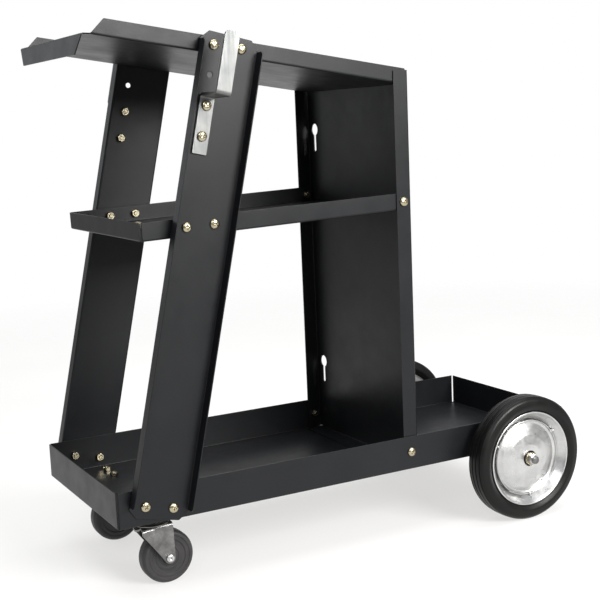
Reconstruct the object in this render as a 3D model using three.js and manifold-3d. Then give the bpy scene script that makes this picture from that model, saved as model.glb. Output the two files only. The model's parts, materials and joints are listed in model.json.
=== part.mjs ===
// Welding cart: a folded sheet-steel cart with a bottom tray, a middle shelf, a sloping top shelf,
// a rear panel, two leaning front legs, two cable hooks, two fixed rear wheels on one axle and two
// swivel casters. Millimetres, +Z up. The front of the cart faces -X, its left side faces -Y.
//
// While it is built, x runs from the front face of the bottom tray, y from the middle plane and
// z from the floor. The finished group is then moved so that its origin is the bottom centre of
// its bounding box.
import * as THREE from "three";
import { mergeVertices } from "three/addons/utils/BufferGeometryUtils.js";
import Module from "manifold-3d";

const wasm = await Module();
wasm.setup();

// Driving dimensions
const SHEET = 1.5;            // thickness of every folded sheet
const GAP = 0.3;              // clearance between pieces that touch
const BEND = 3;               // outside radius of a fold
const BEND_STEPS = 2;         // straight pieces in the arc of a fold
const THROUGH = 300;          // reach of a cut that goes right through the cart

const TRAY_LENGTH = 705;
const TRAY_HALF_WIDTH = 139.5;
const TRAY_DEPTH = 47;        // height of the tray's flanges
const TRAY_BOTTOM = 95.8;     // underside of the tray above the floor
const CORNER_SEAM = 1;        // open seam between two neighbouring flanges

const PANEL_BACK = 443.9;     // rear face of the rear panel
const PANEL_DEPTH = 22.8;     // depth of its side flanges
const PANEL_TOP = TRAY_BOTTOM + 547.4;
const PANEL_LIP = 29;         // depth of the lip that lies on the tray
const PANEL_LIP_INSET = 5;    // how far its ends stay clear of the panel's side folds
const PANEL_HALF_WIDTH = TRAY_HALF_WIDTH - SHEET - GAP;
const SHELF_HALF_WIDTH = PANEL_HALF_WIDTH - SHEET - GAP;

const REAR_CLEARANCE = 1;     // between a shelf's rear edge and the panel
const MIDDLE_FRONT = 53.9;
const MIDDLE_BOTTOM = TRAY_BOTTOM + 350.2;
const MIDDLE_TILT = -1.7;     // degrees about Y; the rear end is the higher one
const MIDDLE_DEPTH = 23.2;

const TOP_FRONT_BOTTOM = TRAY_BOTTOM + 597;
const TOP_TILT = 8.8;         // degrees about Y; the front end is the higher one
const TOP_DEPTH = 20.5;
const TOP_LIP = 23;           // height of the lip folded down at the front
const TOP_LIP_TAPER = 19;     // how much each end of the lip narrows towards its free edge
const TOP_CORNER = 9;         // cut corner of the floor beside the lip
const TOP_FLANGE_START = 7;   // where the side flanges start behind the lip
const TOP_FLANGE_SLANT = 16;  // how far their slanted front ends lean back

const LEG_LEAN = 12.8;        // degrees about Y; the top leans to the rear
const LEG_FRONT = 9.5;        // front face of the leg at the height of the tray's underside
const LEG_WIDTH = 79.5;
const LEG_FLANGE = 17;
const LEG_WEB_START = 14;     // distances along the leg
const LEG_WEB_END = 617;
const LEG_FLANGE_START = 28;
const LEG_FLANGE_END = 605;
const LEG_CORNER = 11;        // cut corners of the web
const LEG_TIP = 4;            // cut corners at the ends of the flanges

const HOOK_WIDTH = 19;
const HOOK_THICKNESS = 3;
const HOOK_START = 468;       // distances along the leg
const HOOK_STEP = 541;
const HOOK_END = 614;
const HOOK_REACH = 45.5;      // from the lower bar to the upper bar
const HOOK_CENTRE = 20;       // from the leg's front face
const HOOK_CORNER = 5;        // cut corners of the upper end

const BOLT_PITCH = 37.5;
const TRAY_BOLTS_ALONG = 29.8;                   // distance along the leg of its lowest bolts
const HOOK_BOLT_START = 489.7;                   // and of the hook's lower bolt
const MIDDLE_BOLTS = [130.9, TRAY_BOTTOM + 364.9]; // between the two bolts of the middle shelf
const TOP_BOLTS = [179.8, TRAY_BOTTOM + 579.3];    // between the two bolts of the top shelf
const PANEL_BOLT_X = 432;
const BOLT_RADIUS = 3;
const HOLE_RADIUS = BOLT_RADIUS + 2 * GAP;
const HEAD_RADIUS = 6.8;
const HEAD_TOP_RADIUS = 4.2;  // of the flat on top of the domed head
const HEAD_EDGE = 1.7;        // height of the head's upright edge
const HEAD_HEIGHT = 3.8;
const NUT_RADIUS = 5.7;       // across the corners
const NUT_HEIGHT = 5;
const BOLT_END = 1.5;         // thread that stands out of the nut

const KEYHOLE_Y = 118;
const KEYHOLE_RADIUS = 9;
const KEYHOLE_SLOT = 33;      // from the centre of the round end down to the end of the slot
const KEYHOLE_SLOT_WIDTH = 6;
const KEYHOLE_HEIGHTS = [TRAY_BOTTOM + 111, TRAY_BOTTOM + 472];

const WHEEL_RADIUS = 90;
const WHEEL_X = 607.2;
const WHEEL_Y = 168;          // middle plane of the tyre
const TYRE_HALF_WIDTH = 17.5;
const RIM_RADIUS = 68.4;
const RIM_HALF_WIDTH = 15;
const RIM_FLAT = 4;           // half width of the rim's narrowest part
const BARREL_RADIUS = 57.2;   // radius of that part
const RIM_WALL = 1.7;
const DISC_RADIUS = 54.8;
const HUB_RADIUS = 9.3;
const HUB_HALF_WIDTH = 14;
const AXLE_RADIUS = 5.5;
const AXLE_BRACKET_Y = 120;
const AXLE_BRACKET_HALF = 17; // half length under the tray's floor
const AXLE_BRACKET_FOOT = 9;  // half length at its lower edge
const AXLE_BRACKET_WALL = 4;  // metal left below the axle
const AXLE_NUT_RADIUS = 8;
const AXLE_NUT_HEIGHT = 6;
const AXLE_WASHER_HEIGHT = 3;
const AXLE_END = 196;

const CASTER_X = 59;          // swivel axis
const CASTER_Y = 95;
const CASTER_TRAIL = 18;      // from the swivel axis back to the wheel's axle
const CASTER_WHEEL_RADIUS = 35.2;
const CASTER_WHEEL_HALF_WIDTH = 11;
const CASTER_HUB_RADIUS = 9;
const CASTER_AXLE_RADIUS = 3;
const CASTER_RIVET_RADIUS = 5.5;
const CASTER_RIVET_HEIGHT = 2.5;
const CASTER_PLATE_ENDS = [-32, 22];  // along the cart, from the swivel axis
const CASTER_PLATE_HALF = 22;
const CASTER_HOLES = [-25, 15];       // along the cart, from the swivel axis
const CASTER_HOLE_HALF = 15;          // across the cart, from the swivel axis
const CASTER_SHEET = 2.5;
const CASTER_NECK_RADIUS = 13.5;
const CASTER_NECK_HEIGHT = 5;
const CASTER_CUP_RADIUS = 21; // ball cup on top of the fork's crown
const CASTER_CUP_HEIGHT = 5.2;
const CROWN_FRONT = -18;      // the crown's ends, from the swivel axis
const CROWN_REAR = 24;
const FORK_HALF_WIDTH = 15.5; // outside of the arms
const FORK_END_RADIUS = 7.5;
const FORK_FRONT_DROP = 9;    // height of the arm's upright front edge
const KINGPIN_RADIUS = 4;
const KINGPIN_RIVET = 3;      // height of its riveted end under the crown

const ROUND = 28;             // sides of the rear wheels
const CASTER_ROUND = 24;      // sides of the caster wheels
const MEDIUM_ROUND = 16;      // sides of hubs, cups and the axle
const SMALL_ROUND = 8;        // sides of bolts, holes and pins

const painted = { color: 0x17171a, roughness: 0.55, metalness: 0.1 };
const bareSteel = { color: 0xb9bcbf, roughness: 0.3, metalness: 0.9 };
const yellowZinc = { color: 0xb8a468, roughness: 0.35, metalness: 0.9 };
const rubber = { color: 0x1b1b1c, roughness: 0.8, metalness: 0 };
const casterRubber = { color: 0x2a2a2c, roughness: 0.7, metalness: 0 };

const cart = new THREE.Group();

// ---- Solids -------------------------------------------------------------------------------

function solid(geometry) {
  const bare = geometry.clone();
  bare.deleteAttribute("normal");
  bare.deleteAttribute("uv");
  const merged = mergeVertices(bare, 1e-4);
  const vertProperties = new Float32Array(merged.attributes.position.array);
  const triVerts = new Uint32Array(merged.index.array);
  return new wasm.Manifold(new wasm.Mesh({ numProp: 3, vertProperties, triVerts }));
}

function surface(manifold) {
  const mesh = manifold.getMesh();
  const geometry = new THREE.BufferGeometry();
  geometry.setAttribute("position", new THREE.BufferAttribute(new Float32Array(mesh.vertProperties), 3));
  geometry.setIndex(new THREE.BufferAttribute(new Uint32Array(mesh.triVerts), 1));
  geometry.computeVertexNormals();
  return geometry;
}

function joined(...geometries) {
  return geometries.map(solid).reduce((whole, piece) => whole.add(piece));
}

function addMesh(parent, name, geometry, finish) {
  const mesh = new THREE.Mesh(geometry, new THREE.MeshStandardMaterial(finish));
  mesh.name = name;
  parent.add(mesh);
  return mesh;
}

function box(low, high) {
  const size = high.map((value, i) => value - low[i]);
  const middle = high.map((value, i) => (value + low[i]) / 2);
  return new THREE.BoxGeometry(...size).translate(...middle);
}

// A cylinder along Y through x and z, from low to high.
function rodAlongY(radius, low, high, x, z, sides = SMALL_ROUND) {
  const rod = new THREE.CylinderGeometry(radius, radius, high - low, sides);
  return rod.translate(x, (low + high) / 2, z);
}

// A cylinder along Z through x and y, from low to high.
function rodAlongZ(radius, low, high, x, y, sides = SMALL_ROUND) {
  const rod = new THREE.CylinderGeometry(radius, radius, high - low, sides).rotateX(Math.PI / 2);
  return rod.translate(x, y, (low + high) / 2);
}

function points(...pairs) {
  return pairs.map(([a, b]) => new THREE.Vector2(a, b));
}

// The closed outline of a folded strip. The path is the face on the strip's outer side; the sheet
// lies to the left of the path where turn is +1 and to its right where turn is -1.
function foldedStrip(path, thickness, turn, radius = BEND) {
  const outer = [];
  const inner = [];
  path.forEach((point, i) => {
    const before = i > 0 ? point.clone().sub(path[i - 1]).normalize() : null;
    const after = i < path.length - 1 ? path[i + 1].clone().sub(point).normalize() : null;
    const side = (along) => new THREE.Vector2(-along.y, along.x).multiplyScalar(turn);
    if (!before || !after) {
      outer.push(point.clone());
      inner.push(point.clone().addScaledVector(side(before ?? after), thickness));
      return;
    }
    const bend = before.cross(after) * turn > 0 ? 1 : -1;
    const outerRadius = bend > 0 ? radius : radius - thickness;
    const innerRadius = bend > 0 ? radius - thickness : radius;
    const angle = Math.acos(THREE.MathUtils.clamp(before.dot(after), -1, 1));
    const setback = outerRadius * Math.tan(angle / 2);
    const towards = side(before).multiplyScalar(bend);
    const centre = point.clone().addScaledVector(before, -setback).addScaledVector(towards, outerRadius);
    for (let step = 0; step <= BEND_STEPS; step += 1) {
      const spoke = towards.clone().negate();
      spoke.rotateAround(new THREE.Vector2(), (turn * bend * angle * step) / BEND_STEPS);
      outer.push(centre.clone().addScaledVector(spoke, outerRadius));
      inner.push(centre.clone().addScaledVector(spoke, innerRadius));
    }
  });
  return [...outer, ...inner.reverse()];
}

function extruded(outline, depth) {
  const shape = outline instanceof THREE.Shape ? outline : new THREE.Shape(outline);
  return new THREE.ExtrudeGeometry(shape, { depth, bevelEnabled: false, curveSegments: 6 });
}

// An outline in the YZ plane, extruded along X.
function profileAlongX(outline, low, high) {
  const turned = new THREE.Matrix4().makeBasis(
    new THREE.Vector3(0, 1, 0),
    new THREE.Vector3(0, 0, 1),
    new THREE.Vector3(1, 0, 0),
  );
  return extruded(outline, high - low).applyMatrix4(turned).translate(low, 0, 0);
}

// An outline in the XZ plane, extruded along Y.
function profileAlongY(outline, low, high) {
  return extruded(outline, high - low).rotateX(Math.PI / 2).translate(0, high, 0);
}

// An outline in the XY plane, extruded along Z.
function profileAlongZ(outline, low, high) {
  return extruded(outline, high - low).translate(0, 0, low);
}

// The two faces of a wall on one side of the cart, the lower one first.
function facesAt(side, inside, outside) {
  return side > 0 ? [inside, outside] : [-outside, -inside];
}

// A ring turned about the Y axis. The outline lists [radius, y] pairs either way round.
function ring(outline, sideCount = ROUND) {
  const corners = points(...outline);
  const ordered = THREE.ShapeUtils.area(corners) > 0 ? corners : corners.reverse();
  return new THREE.LatheGeometry([...ordered, ordered[0]], sideCount);
}

// The same outline on both sides of a wheel's middle plane, as one closed outline.
function mirrored(half) {
  return [...half, ...half.map(([radius, offset]) => [radius, -offset]).reverse()];
}

// ---- Frames and bolt rows -----------------------------------------------------------------

// A group that leans about Y. toLocal turns a point (x, z) of the cart into the group's own.
function leaningFrame(x, z, degrees) {
  const group = new THREE.Group();
  group.position.set(x, 0, z);
  group.rotation.y = THREE.MathUtils.degToRad(degrees);
  cart.add(group);
  group.updateWorldMatrix(true, false);
  const toLocal = ([px, pz]) => {
    const local = group.worldToLocal(new THREE.Vector3(px, 0, pz));
    return [local.x, local.z];
  };
  const toCart = ([px, pz]) => {
    const world = group.localToWorld(new THREE.Vector3(px, 0, pz));
    return [world.x, world.z];
  };
  return { group, toLocal, toCart };
}

const legFrame = leaningFrame(LEG_FRONT, TRAY_BOTTOM, LEG_LEAN);
const middleFrame = leaningFrame(MIDDLE_FRONT, MIDDLE_BOTTOM, MIDDLE_TILT);
const topFrame = leaningFrame(0, TOP_FRONT_BOTTOM, TOP_TILT);

// Two bolts side by side across the leg, in line with the shelf or leg they hold.
function boltRow(frame, centre) {
  return [-BOLT_PITCH / 2, BOLT_PITCH / 2].map((step) => frame.toCart([centre[0] + step, centre[1]]));
}

const trayRow = boltRow(legFrame, [LEG_WIDTH / 2, TRAY_BOLTS_ALONG]);
const middleRow = boltRow(middleFrame, middleFrame.toLocal(MIDDLE_BOLTS));
const topRow = boltRow(topFrame, topFrame.toLocal(TOP_BOLTS));
// Each leg has one more hole for the hook than it has bolts.
const hookHoles = [0, 1, 2].map((i) => legFrame.toCart([HOOK_CENTRE, HOOK_BOLT_START + i * BOLT_PITCH]));
const hookBolts = hookHoles.slice(0, 2);
const panelTrayBolt = [PANEL_BOLT_X, TRAY_BOTTOM + 25];
const panelMiddleBolt = [PANEL_BOLT_X, TRAY_BOTTOM + 373];

// Cuts round holes along Y at places given in the cart's frame.
function drilled(body, places, radius = HOLE_RADIUS, frame = null) {
  return places.reduce((rest, place) => {
    const [x, z] = frame ? frame.toLocal(place) : place;
    return rest.subtract(solid(rodAlongY(radius, -THROUGH, THROUGH, x, z)));
  }, body);
}

const sides = [
  { name: "left", y: -1 },
  { name: "right", y: 1 },
];

// ---- Bottom tray --------------------------------------------------------------------------

function bottomTray() {
  const half = TRAY_HALF_WIDTH;
  const endClearance = BEND + CORNER_SEAM;
  const along = foldedStrip(points([-half, TRAY_DEPTH], [-half, 0], [half, 0], [half, TRAY_DEPTH]), SHEET, 1);
  const across = foldedStrip(
    points([0, TRAY_DEPTH], [0, 0], [TRAY_LENGTH, 0], [TRAY_LENGTH, TRAY_DEPTH]), SHEET, 1);
  const lengthways = profileAlongX(along, endClearance, TRAY_LENGTH - endClearance);
  const crossways = profileAlongY(across, -(half - endClearance), half - endClearance);
  const brackets = sides.map(({ y }) => axleBracket(y * AXLE_BRACKET_Y));
  const tray = joined(lengthways, crossways, ...brackets);
  const bore = solid(rodAlongY(AXLE_RADIUS + GAP, -THROUGH, THROUGH, WHEEL_X, WHEEL_RADIUS - TRAY_BOTTOM));
  const casterHoles = sides.flatMap(({ y }) => casterBoltPlaces(y));
  const bored = casterHoles.reduce(
    (rest, [x, holeY]) => rest.subtract(solid(rodAlongZ(HOLE_RADIUS, -THROUGH, THROUGH, x, holeY))),
    tray.subtract(bore),
  );
  const places = [...trayRow, panelTrayBolt].map(([x, z]) => [x, z - TRAY_BOTTOM]);
  const mesh = addMesh(cart, "bottom_tray", surface(drilled(bored, places)), painted);
  mesh.position.z = TRAY_BOTTOM;
}

// A plate welded under the tray's floor that holds the rear axle.
function axleBracket(y) {
  const weld = SHEET / 2;
  const shoulder = -2 * SHEET;
  const foot = WHEEL_RADIUS - TRAY_BOTTOM - AXLE_RADIUS - AXLE_BRACKET_WALL;
  const outline = points(
    [WHEEL_X - AXLE_BRACKET_HALF, weld], [WHEEL_X - AXLE_BRACKET_HALF, shoulder],
    [WHEEL_X - AXLE_BRACKET_FOOT, foot], [WHEEL_X + AXLE_BRACKET_FOOT, foot],
    [WHEEL_X + AXLE_BRACKET_HALF, shoulder], [WHEEL_X + AXLE_BRACKET_HALF, weld],
  );
  return profileAlongY(outline, y - SHEET, y + SHEET);
}

function casterBoltPlaces(side) {
  const rows = [-CASTER_HOLE_HALF, CASTER_HOLE_HALF];
  return CASTER_HOLES.flatMap((x) => rows.map((y) => [CASTER_X + x, side * CASTER_Y + y]));
}

// ---- Middle shelf -------------------------------------------------------------------------

function middleShelf() {
  const half = SHELF_HALF_WIDTH;
  const length = PANEL_BACK - SHEET - GAP - MIDDLE_FRONT - REAR_CLEARANCE;
  const along = foldedStrip(
    points([-half, MIDDLE_DEPTH], [-half, 0], [half, 0], [half, MIDDLE_DEPTH]), SHEET, 1);
  const front = foldedStrip(points([0, MIDDLE_DEPTH], [0, 0], [MIDDLE_DEPTH, 0]), SHEET, 1);
  const lengthways = profileAlongX(along, BEND + CORNER_SEAM, length);
  const frontFlange = profileAlongY(front, -(half - BEND - CORNER_SEAM), half - BEND - CORNER_SEAM);
  const shelf = drilled(
    joined(lengthways, frontFlange), [...middleRow, panelMiddleBolt], HOLE_RADIUS, middleFrame);
  addMesh(middleFrame.group, "middle_shelf", surface(shelf), painted);
}

// ---- Top shelf ----------------------------------------------------------------------------

function topShelf() {
  const half = SHELF_HALF_WIDTH;
  const tilt = THREE.MathUtils.degToRad(TOP_TILT);
  const reach = PANEL_BACK - SHEET - GAP - REAR_CLEARANCE;
  const length = (reach - TOP_DEPTH * Math.sin(tilt)) / Math.cos(tilt);
  const along = foldedStrip(points([-half, TOP_DEPTH], [-half, 0], [half, 0], [half, TOP_DEPTH]), SHEET, 1);
  const channel = solid(profileAlongX(along, TOP_FLANGE_START, length));
  const start = TOP_FLANGE_START;
  const slant = profileAlongY(
    points([start - 1, 0], [start, 0], [start + TOP_FLANGE_SLANT, TOP_DEPTH + 1], [start - 1, TOP_DEPTH + 1]),
    -THROUGH,
    THROUGH,
  );
  const foldHalf = half - TOP_CORNER;
  const lip = foldedStrip(points([0, -TOP_LIP], [0, SHEET], [start + 10, SHEET]), SHEET, -1);
  const lipEnds = sides.map(({ y }) => profileAlongX(
    points(
      [y * foldHalf, SHEET + 1], [y * (half + 1), SHEET + 1], [y * (half + 1), -TOP_LIP - 1],
      [y * (foldHalf - TOP_LIP_TAPER), -TOP_LIP - 1], [y * foldHalf, -BEND],
    ),
    -1,
    BEND,
  ));
  const corners = sides.map(({ y }) => profileAlongZ(
    points([-1, y * foldHalf], [BEND, y * foldHalf], [start, y * (half + 1)], [-1, y * (half + 1)]),
    -TOP_LIP,
    SHEET + 1,
  ));
  const nose = [...lipEnds, ...corners].reduce(
    (rest, cut) => rest.subtract(solid(cut)),
    solid(profileAlongY(lip, -half + BEND, half - BEND)),
  );
  const shelf = drilled(channel.subtract(solid(slant)).add(nose), topRow, HOLE_RADIUS, topFrame);
  addMesh(topFrame.group, "top_shelf", surface(shelf), painted);
}

// ---- Rear panel ---------------------------------------------------------------------------

function rearPanel() {
  const half = PANEL_HALF_WIDTH;
  const front = PANEL_BACK - PANEL_DEPTH;
  const floor = TRAY_BOTTOM + SHEET + GAP;
  const flangeStart = floor + BEND + CORNER_SEAM;
  const channel = foldedStrip(
    points([front, -half], [PANEL_BACK, -half], [PANEL_BACK, half], [front, half]), SHEET, 1);
  const lip = foldedStrip(
    points([PANEL_BACK - PANEL_LIP, floor], [PANEL_BACK, floor], [PANEL_BACK, floor + PANEL_LIP]), SHEET, 1);
  const lipHalf = half - BEND - PANEL_LIP_INSET;
  const keyholes = sides.flatMap(({ y }) => KEYHOLE_HEIGHTS.map((z) => keyhole(y * KEYHOLE_Y, z)));
  const panel = keyholes.reduce(
    (rest, cut) => rest.subtract(cut),
    joined(profileAlongZ(channel, flangeStart, PANEL_TOP), profileAlongY(lip, -lipHalf, lipHalf)),
  );
  addMesh(cart, "rear_panel", surface(drilled(panel, [panelTrayBolt, panelMiddleBolt])), painted);
}

// A round hole with a narrow slot below it, which holds a chain link.
function keyhole(y, z) {
  const low = PANEL_BACK - 2 * BEND;
  const high = PANEL_BACK + 2 * BEND;
  const round = new THREE.CylinderGeometry(KEYHOLE_RADIUS, KEYHOLE_RADIUS, high - low, MEDIUM_ROUND)
    .rotateZ(Math.PI / 2);
  const half = KEYHOLE_SLOT_WIDTH / 2;
  const slot = box([low, y - half, z - KEYHOLE_SLOT], [high, y + half, z]);
  return solid(round.translate(PANEL_BACK, y, z)).add(solid(slot));
}

// ---- Legs ---------------------------------------------------------------------------------

// A channel with its web against the tray and its flanges facing outwards. The web runs on past
// both ends of the flanges as a tab with cut corners.
function leg({ name, y }) {
  const inside = TRAY_HALF_WIDTH + GAP;
  const outside = inside + LEG_FLANGE;
  const channel = foldedStrip(
    points([0, y * outside], [0, y * inside], [LEG_WIDTH, y * inside], [LEG_WIDTH, y * outside]), SHEET, y);
  const tabs = [
    { flange: LEG_FLANGE_START, end: LEG_WEB_START, out: -1 },
    { flange: LEG_FLANGE_END, end: LEG_WEB_END, out: 1 },
  ].map(({ flange, end, out }) => profileAlongY(
    points(
      [BEND, flange - out * BEND], [BEND, flange], [0, flange], [0, end - out * LEG_CORNER],
      [LEG_CORNER, end], [LEG_WIDTH - LEG_CORNER, end], [LEG_WIDTH, end - out * LEG_CORNER],
      [LEG_WIDTH, flange], [LEG_WIDTH - BEND, flange], [LEG_WIDTH - BEND, flange - out * BEND],
    ),
    ...facesAt(y, inside, inside + SHEET),
  ));
  const body = joined(profileAlongZ(channel, LEG_FLANGE_START, LEG_FLANGE_END), ...tabs);
  const trimmed = [[LEG_FLANGE_START, -1], [LEG_FLANGE_END, 1]].reduce((rest, [end, out]) => {
    const wedge = points(
      [y * (outside - LEG_TIP), end + out], [y * (outside - LEG_TIP), end],
      [y * (outside + 1), end - out * (LEG_TIP + 1)], [y * (outside + 1), end + out],
    );
    return rest.subtract(solid(profileAlongX(wedge, -1, LEG_WIDTH + 1)));
  }, body);
  const places = [...trayRow, ...middleRow, ...topRow, ...hookHoles];
  addMesh(legFrame.group, `leg_${name}`, surface(drilled(trimmed, places, HOLE_RADIUS, legFrame)), painted);
}

// ---- Cable hooks --------------------------------------------------------------------------

// A flat bar: a lower tab on the leg's web, a step outwards and an upright bar.
function cableHook({ name, y }) {
  const inside = TRAY_HALF_WIDTH + GAP + SHEET + GAP;
  const outside = inside + HOOK_REACH;
  const path = points(
    [y * inside, HOOK_START], [y * inside, HOOK_STEP], [y * outside, HOOK_STEP], [y * outside, HOOK_END]);
  const strip = foldedStrip(path, HOOK_THICKNESS, -y, BEND + HOOK_THICKNESS);
  const low = HOOK_CENTRE - HOOK_WIDTH / 2;
  const high = HOOK_CENTRE + HOOK_WIDTH / 2;
  const bar = solid(profileAlongX(strip, low, high));
  const outline = profileAlongY(
    points(
      [low, HOOK_START - 1], [high, HOOK_START - 1], [high, HOOK_END - HOOK_CORNER],
      [high - HOOK_CORNER, HOOK_END], [low + HOOK_CORNER, HOOK_END], [low, HOOK_END - HOOK_CORNER],
    ),
    -THROUGH,
    THROUGH,
  );
  const hook = drilled(bar.intersect(solid(outline)), hookBolts, HOLE_RADIUS, legFrame);
  addMesh(legFrame.group, `cable_hook_${name}`, surface(hook), bareSteel);
}

// ---- Bolts --------------------------------------------------------------------------------

// A domed bolt along Z: the underside of its head is at grip and the nut's face is at zero.
function boltGeometry(grip) {
  const head = new THREE.LatheGeometry(
    points(
      [0, grip], [HEAD_RADIUS, grip], [HEAD_RADIUS, grip + HEAD_EDGE],
      [HEAD_TOP_RADIUS, grip + HEAD_HEIGHT], [0, grip + HEAD_HEIGHT],
    ),
    SMALL_ROUND,
  ).rotateX(Math.PI / 2);
  const shank = rodAlongZ(BOLT_RADIUS, -NUT_HEIGHT - BOLT_END, grip + HEAD_EDGE, 0, 0);
  const nut = rodAlongZ(NUT_RADIUS, -NUT_HEIGHT, 0, 0, 0, 6);
  return surface(joined(head, shank, nut));
}

// A bolt along Y through the cart's side, with its head outside and its nut inside.
function sideBolt(name, side, [x, z], headFace, nutFace) {
  const bolt = addMesh(cart, name, boltGeometry(headFace - nutFace), yellowZinc);
  bolt.position.set(x, side * nutFace, z);
  bolt.rotation.x = (-side * Math.PI) / 2;
}

function sideBolts({ name, y }) {
  const legFace = TRAY_HALF_WIDTH + GAP + SHEET + GAP;
  const hookFace = legFace + HOOK_THICKNESS + GAP;
  const trayInside = TRAY_HALF_WIDTH - SHEET - GAP;
  const shelfInside = SHELF_HALF_WIDTH - SHEET - GAP;
  const panelInside = PANEL_HALF_WIDTH - SHEET - GAP;
  const legInside = TRAY_HALF_WIDTH;
  const ends = ["front", "rear"];
  trayRow.forEach((place, i) => sideBolt(`tray_bolt_${name}_${ends[i]}`, y, place, legFace, trayInside));
  middleRow.forEach((place, i) => (
    sideBolt(`middle_shelf_bolt_${name}_${ends[i]}`, y, place, legFace, shelfInside)));
  topRow.forEach((place, i) => sideBolt(`top_shelf_bolt_${name}_${ends[i]}`, y, place, legFace, shelfInside));
  hookBolts.forEach((place, i) => (
    sideBolt(`hook_bolt_${name}_${["lower", "upper"][i]}`, y, place, hookFace, legInside)));
  sideBolt(`panel_tray_bolt_${name}`, y, panelTrayBolt, TRAY_HALF_WIDTH + GAP, panelInside);
  sideBolt(`panel_shelf_bolt_${name}`, y, panelMiddleBolt, PANEL_HALF_WIDTH + GAP, shelfInside);
}

// ---- Rear wheels --------------------------------------------------------------------------

// Outlines are [radius, distance from the wheel's middle plane].
function tyreOutline() {
  return mirrored([
    [BARREL_RADIUS + 1.3, RIM_FLAT + 0.5], [RIM_RADIUS + 1.5, RIM_HALF_WIDTH],
    [WHEEL_RADIUS - 13, TYRE_HALF_WIDTH], [WHEEL_RADIUS - 4.5, TYRE_HALF_WIDTH - 1],
    [WHEEL_RADIUS, TYRE_HALF_WIDTH / 2],
  ]);
}

function rimOutline() {
  const lip = RIM_HALF_WIDTH + GAP;
  return mirrored([
    [BARREL_RADIUS - RIM_WALL, RIM_FLAT], [RIM_RADIUS - 2.4, lip], [RIM_RADIUS, lip],
    [RIM_RADIUS, lip - 1.2], [BARREL_RADIUS, RIM_FLAT],
  ]);
}

// A domed sheet disc; it lies on the outer or the inner side of the wheel as out says.
function discOutline(out) {
  const crown = HUB_HALF_WIDTH - 0.6;
  const face = [[HUB_RADIUS + GAP, crown], [20, crown], [44, crown / 2], [DISC_RADIUS, RIM_FLAT + 0.6]];
  const back = face.map(([radius, offset]) => [radius, offset - SHEET]).reverse();
  return [...face, ...back].map(([radius, offset]) => [radius, out * offset]);
}

function washerOutline(outside, low, high) {
  return [
    [AXLE_RADIUS + GAP, low], [outside, low], [outside, high], [AXLE_RADIUS + GAP, high],
  ];
}

function rearWheel({ name, y }) {
  const wheel = new THREE.Group();
  wheel.position.set(WHEEL_X, y * WHEEL_Y, WHEEL_RADIUS);
  cart.add(wheel);
  const hub = washerOutline(HUB_RADIUS, -HUB_HALF_WIDTH, HUB_HALF_WIDTH);
  addMesh(wheel, `tyre_${name}`, ring(tyreOutline()), rubber);
  addMesh(wheel, `rim_${name}`, ring(rimOutline()), bareSteel);
  addMesh(wheel, `wheel_disc_outer_${name}`, ring(discOutline(y)), bareSteel);
  addMesh(wheel, `wheel_disc_inner_${name}`, ring(discOutline(-y)), bareSteel);
  addMesh(wheel, `wheel_hub_${name}`, ring(hub, MEDIUM_ROUND), bareSteel);
}

// The washer and the nut that hold one wheel on the axle.
function axleFasteners({ name, y }) {
  const washerInside = WHEEL_Y + HUB_HALF_WIDTH + GAP;
  const nutInside = washerInside + AXLE_WASHER_HEIGHT + GAP;
  const washerFaces = facesAt(y, washerInside, washerInside + AXLE_WASHER_HEIGHT);
  const nutFaces = facesAt(y, nutInside, nutInside + AXLE_NUT_HEIGHT);
  const bore = solid(rodAlongY(AXLE_RADIUS + GAP, -THROUGH, THROUGH, 0, 0));
  const nut = surface(solid(rodAlongY(AXLE_NUT_RADIUS, ...nutFaces, 0, 0, 6)).subtract(bore));
  const washer = ring(washerOutline(HUB_RADIUS, ...washerFaces), MEDIUM_ROUND);
  addMesh(cart, `axle_washer_${name}`, washer, yellowZinc).position.set(WHEEL_X, 0, WHEEL_RADIUS);
  addMesh(cart, `axle_nut_${name}`, nut, bareSteel).position.set(WHEEL_X, 0, WHEEL_RADIUS);
}

function rearAxle() {
  const rod = rodAlongY(AXLE_RADIUS, -AXLE_END, AXLE_END, WHEEL_X, WHEEL_RADIUS);
  addMesh(cart, "rear_axle", rod, bareSteel);
}

// ---- Casters ------------------------------------------------------------------------------

// The top plate with its neck and the kingpin that the fork turns on.
function casterPlate(caster, { name, y }) {
  const top = TRAY_BOTTOM - GAP;
  const [front, rear] = CASTER_PLATE_ENDS;
  const under = top - CASTER_SHEET;
  const neckLow = under - CASTER_NECK_HEIGHT;
  const crownLow = neckLow - GAP - CASTER_CUP_HEIGHT - CASTER_SHEET - GAP;
  const body = joined(
    box([front, -CASTER_PLATE_HALF, under], [rear, CASTER_PLATE_HALF, top]),
    rodAlongZ(CASTER_NECK_RADIUS, neckLow, top - GAP, 0, 0, MEDIUM_ROUND),
    rodAlongZ(KINGPIN_RADIUS, crownLow - GAP, under, 0, 0),
    rodAlongZ(KINGPIN_RADIUS + 2 * GAP + SHEET, crownLow - KINGPIN_RIVET, crownLow, 0, 0),
  );
  const bored = casterBoltPlaces(y).reduce((rest, [x, holeY]) => (
    rest.subtract(solid(rodAlongZ(HOLE_RADIUS, -THROUGH, THROUGH, x - CASTER_X, holeY - y * CASTER_Y)))
  ), body);
  addMesh(caster, `caster_plate_${name}`, surface(bored), bareSteel);
}

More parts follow.
